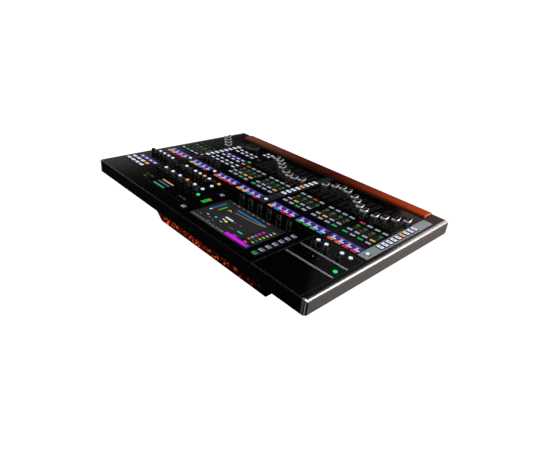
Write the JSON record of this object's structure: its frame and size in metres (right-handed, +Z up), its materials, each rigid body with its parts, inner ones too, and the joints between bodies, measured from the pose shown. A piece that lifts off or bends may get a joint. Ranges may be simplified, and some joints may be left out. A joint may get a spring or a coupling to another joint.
{
  "type": "mixing console",
  "caption": "Desktop digital mixing console: a thin tilted control surface with faders, knobs, lit keys and a touch screen, on a flared lower chassis with rear connectors.",
  "frame": {"origin": "desk surface, under the centre of the console's overall box", "axes": "+Z up, +X to the operator's right, +Y away from the operator towards the connector wall"},
  "size_m": [0.871, 0.579, 0.1763],
  "materials": {
    "black_panel": "black anodised aluminium, gloss on the deck and satin below",
    "hull_paint": "steel sheet with a fine black texture paint",
    "cheek_metal": "brushed dark grey with bright cut edges",
    "mahogany": "satin varnish, reddish brown",
    "screen_glass": "polished black glass over the lit screen",
    "displays": "lit displays, colour bars and meters",
    "key_plastic": "translucent lit keys",
    "knob_rubber": "soft satin black, fine grip ribs",
    "knob_plastic": "black",
    "fader_cap": "satin silver with a scooped top",
    "steel": "plain zinc-plated sheet",
    "connectors": "black moulded connector bodies",
    "circuit_board": "green solder mask",
    "foot_rubber": "matt black"
  },
  "bodies": {
    "console": {"top_deck": "black_panel", "left_end_cheek": "cheek_metal", "right_end_cheek": "cheek_metal", "slab_tray": "black_panel", "wood_armrest": "mahogany", "screen_glass": "screen_glass", "monitor_bay": "black_panel", "display_board": "displays", "channel_encoders": "knob_rubber", "custom_and_user_encoders": "knob_rubber", "fader_frame": "steel", "lower_chassis": "hull_paint", "rear_panel": "hull_paint", "rear_io_board": "connectors", "main_board": "circuit_board", "power_supply": "steel", "front_left_foot": "foot_rubber", "front_right_foot": "foot_rubber", "rear_left_foot": "foot_rubber", "rear_right_foot": "foot_rubber"},
    "fader_01": {"fader_01": "fader_cap"},
    "fader_02": {"fader_02": "fader_cap"},
    "fader_03": {"fader_03": "fader_cap"},
    "fader_04": {"fader_04": "fader_cap"},
    "fader_05": {"fader_05": "fader_cap"},
    "fader_06": {"fader_06": "fader_cap"},
    "fader_07": {"fader_07": "fader_cap"},
    "fader_08": {"fader_08": "fader_cap"},
    "fader_09": {"fader_09": "fader_cap"},
    "fader_10": {"fader_10": "fader_cap"},
    "fader_11": {"fader_11": "fader_cap"},
    "fader_12": {"fader_12": "fader_cap"},
    "fader_13": {"fader_13": "fader_cap"},
    "fader_14": {"fader_14": "fader_cap"},
    "fader_15": {"fader_15": "fader_cap"},
    "fader_16": {"fader_16": "fader_cap"},
    "fader_17": {"fader_17": "fader_cap"},
    "fader_18": {"fader_18": "fader_cap"},
    "fader_19": {"fader_19": "fader_cap"},
    "fader_20": {"fader_20": "fader_cap"},
    "fader_21": {"fader_21": "fader_cap"},
    "fader_22": {"fader_22": "fader_cap"},
    "fader_23": {"fader_23": "fader_cap"},
    "fader_24": {"fader_24": "fader_cap"},
    "screen_knob_1": {"screen_knob_1": "knob_rubber"},
    "screen_knob_2": {"screen_knob_2": "knob_rubber"},
    "screen_knob_3": {"screen_knob_3": "knob_rubber"},
    "screen_knob_4": {"screen_knob_4": "knob_rubber"},
    "screen_knob_5": {"screen_knob_5": "knob_rubber"},
    "screen_knob_6": {"screen_knob_6": "knob_rubber"},
    "monitor_knob_1": {"monitor_knob_1": "knob_rubber"},
    "monitor_knob_2": {"monitor_knob_2": "knob_rubber"},
    "monitor_knob_3": {"monitor_knob_3": "knob_rubber"},
    "jog_wheel": {"jog_wheel": "knob_plastic"},
    "left_bank_keys": {"left_bank_keys": "key_plastic"},
    "centre_bank_keys": {"centre_bank_keys": "key_plastic"},
    "right_bank_keys": {"right_bank_keys": "key_plastic"},
    "screen_and_monitor_keys": {"screen_and_monitor_keys": "key_plastic"},
    "channel_and_custom_keys": {"channel_and_custom_keys": "key_plastic"},
    "power_switch": {"power_switch": "knob_plastic"}
  },
  "joints": [
    {"name": "fader_01_slide", "type": "slide", "parent": "console", "child": "fader_01", "axis": [0, 0.9917, 0.1288], "range_m": [-0.02923, 0.07078]},
    {"name": "fader_02_slide", "type": "slide", "parent": "console", "child": "fader_02", "axis": [0, 0.9917, 0.1288], "range_m": [-0.04877, 0.05123]},
    {"name": "fader_03_slide", "type": "slide", "parent": "console", "child": "fader_03", "axis": [0, 0.9917, 0.1288], "range_m": [-0.06707, 0.03293]},
    {"name": "fader_04_slide", "type": "slide", "parent": "console", "child": "fader_04", "axis": [0, 0.9917, 0.1288], "range_m": [-0.07804, 0.02196]},
    {"name": "fader_05_slide", "type": "slide", "parent": "console", "child": "fader_05", "axis": [0, 0.9917, 0.1288], "range_m": [-0.07804, 0.02196]},
    {"name": "fader_06_slide", "type": "slide", "parent": "console", "child": "fader_06", "axis": [0, 0.9917, 0.1288], "range_m": [-0.06707, 0.03293]},
    {"name": "fader_07_slide", "type": "slide", "parent": "console", "child": "fader_07", "axis": [0, 0.9917, 0.1288], "range_m": [-0.04877, 0.05123]},
    {"name": "fader_08_slide", "type": "slide", "parent": "console", "child": "fader_08", "axis": [0, 0.9917, 0.1288], "range_m": [-0.02923, 0.07078]},
    {"name": "fader_09_slide", "type": "slide", "parent": "console", "child": "fader_09", "axis": [0, 0.9917, 0.1288], "range_m": [-0.01491, 0.08509]},
    {"name": "fader_10_slide", "type": "slide", "parent": "console", "child": "fader_10", "axis": [0, 0.9917, 0.1288], "range_m": [-0.01059, 0.08941]},
    {"name": "fader_11_slide", "type": "slide", "parent": "console", "child": "fader_11", "axis": [0, 0.9917, 0.1288], "range_m": [-0.01769, 0.08231]},
    {"name": "fader_12_slide", "type": "slide", "parent": "console", "child": "fader_12", "axis": [0, 0.9917, 0.1288], "range_m": [-0.03386, 0.06614]},
    {"name": "fader_13_slide", "type": "slide", "parent": "console", "child": "fader_13", "axis": [0, 0.9917, 0.1288], "range_m": [-0.07133, 0.02867]},
    {"name": "fader_14_slide", "type": "slide", "parent": "console", "child": "fader_14", "axis": [0, 0.9917, 0.1288], "range_m": [-0.08063, 0.01937]},
    {"name": "fader_15_slide", "type": "slide", "parent": "console", "child": "fader_15", "axis": [0, 0.9917, 0.1288], "range_m": [-0.07956, 0.02044]},
    {"name": "fader_16_slide", "type": "slide", "parent": "console", "child": "fader_16", "axis": [0, 0.9917, 0.1288], "range_m": [-0.06842, 0.03158]},
    {"name": "fader_17_slide", "type": "slide", "parent": "console", "child": "fader_17", "axis": [0, 0.9917, 0.1288], "range_m": [-0.05046, 0.04954]},
    {"name": "fader_18_slide", "type": "slide", "parent": "console", "child": "fader_18", "axis": [0, 0.9917, 0.1288], "range_m": [-0.03092, 0.06908]},
    {"name": "fader_19_slide", "type": "slide", "parent": "console", "child": "fader_19", "axis": [0, 0.9917, 0.1288], "range_m": [-0.01547, 0.08453]},
    {"name": "fader_20_slide", "type": "slide", "parent": "console", "child": "fader_20", "axis": [0, 0.9917, 0.1288], "range_m": [-0.00862, 0.09138]},
    {"name": "fader_21_slide", "type": "slide", "parent": "console", "child": "fader_21", "axis": [0, 0.9917, 0.1288], "range_m": [-0.069, 0.031]},
    {"name": "fader_22_slide", "type": "slide", "parent": "console", "child": "fader_22", "axis": [0, 0.9917, 0.1288], "range_m": [-0.0512, 0.0488]},
    {"name": "fader_23_slide", "type": "slide", "parent": "console", "child": "fader_23", "axis": [0, 0.9917, 0.1288], "range_m": [-0.0334, 0.0666]},
    {"name": "fader_24_slide", "type": "slide", "parent": "console", "child": "fader_24", "axis": [0, 0.9917, 0.1288], "range_m": [-0.0156, 0.0844]},
    {"name": "screen_knob_1_turn", "type": "hinge", "parent": "console", "child": "screen_knob_1", "pos_m": [-0.2035, 0.10069, 0.15011], "axis": [0, -0.1288, 0.9917], "continuous": true},
    {"name": "screen_knob_2_turn", "type": "hinge", "parent": "console", "child": "screen_knob_2", "pos_m": [-0.1675, 0.10069, 0.15011], "axis": [0, -0.1288, 0.9917], "continuous": true},
    {"name": "screen_knob_3_turn", "type": "hinge", "parent": "console", "child": "screen_knob_3", "pos_m": [-0.1315, 0.10069, 0.15011], "axis": [0, -0.1288, 0.9917], "continuous": true},
    {"name": "screen_knob_4_turn", "type": "hinge", "parent": "console", "child": "screen_knob_4", "pos_m": [-0.0955, 0.10069, 0.15011], "axis": [0, -0.1288, 0.9917], "continuous": true},
    {"name": "screen_knob_5_turn", "type": "hinge", "parent": "console", "child": "screen_knob_5", "pos_m": [-0.0595, 0.10069, 0.15011], "axis": [0, -0.1288, 0.9917], "continuous": true},
    {"name": "screen_knob_6_turn", "type": "hinge", "parent": "console", "child": "screen_knob_6", "pos_m": [-0.0235, 0.10069, 0.15011], "axis": [0, -0.1288, 0.9917], "continuous": true},
    {"name": "monitor_knob_1_turn", "type": "hinge", "parent": "console", "child": "monitor_knob_1", "pos_m": [-0.374, 0.11854, 0.15243], "axis": [0, -0.1288, 0.9917], "range_deg": [-150, 150]},
    {"name": "monitor_knob_2_turn", "type": "hinge", "parent": "console", "child": "monitor_knob_2", "pos_m": [-0.3385, 0.11854, 0.15243], "axis": [0, -0.1288, 0.9917], "range_deg": [-150, 150]},
    {"name": "monitor_knob_3_turn", "type": "hinge", "parent": "console", "child": "monitor_knob_3", "pos_m": [-0.303, 0.11854, 0.15243], "axis": [0, -0.1288, 0.9917], "range_deg": [-150, 150]},
    {"name": "jog_wheel_turn", "type": "hinge", "parent": "console", "child": "jog_wheel", "pos_m": [0.262, -0.18788, 0.11263], "axis": [0, -0.1288, 0.9917], "continuous": true},
    {"name": "left_bank_keys_press", "type": "slide", "parent": "console", "child": "left_bank_keys", "axis": [0, -0.1288, 0.9917], "range_m": [-0.001, 0]},
    {"name": "centre_bank_keys_press", "type": "slide", "parent": "console", "child": "centre_bank_keys", "axis": [0, -0.1288, 0.9917], "range_m": [-0.001, 0]},
    {"name": "right_bank_keys_press", "type": "slide", "parent": "console", "child": "right_bank_keys", "axis": [0, -0.1288, 0.9917], "range_m": [-0.001, 0]},
    {"name": "screen_and_monitor_keys_press", "type": "slide", "parent": "console", "child": "screen_and_monitor_keys", "axis": [0, -0.1288, 0.9917], "range_m": [-0.001, 0]},
    {"name": "channel_and_custom_keys_press", "type": "slide", "parent": "console", "child": "channel_and_custom_keys", "axis": [0, -0.1288, 0.9917], "range_m": [-0.001, 0]},
    {"name": "power_switch_rock", "type": "hinge", "parent": "console", "child": "power_switch", "pos_m": [-0.196, 0.2102, 0.098], "axis": [1, 0, 0], "range_deg": [0, 14]}
  ]
}
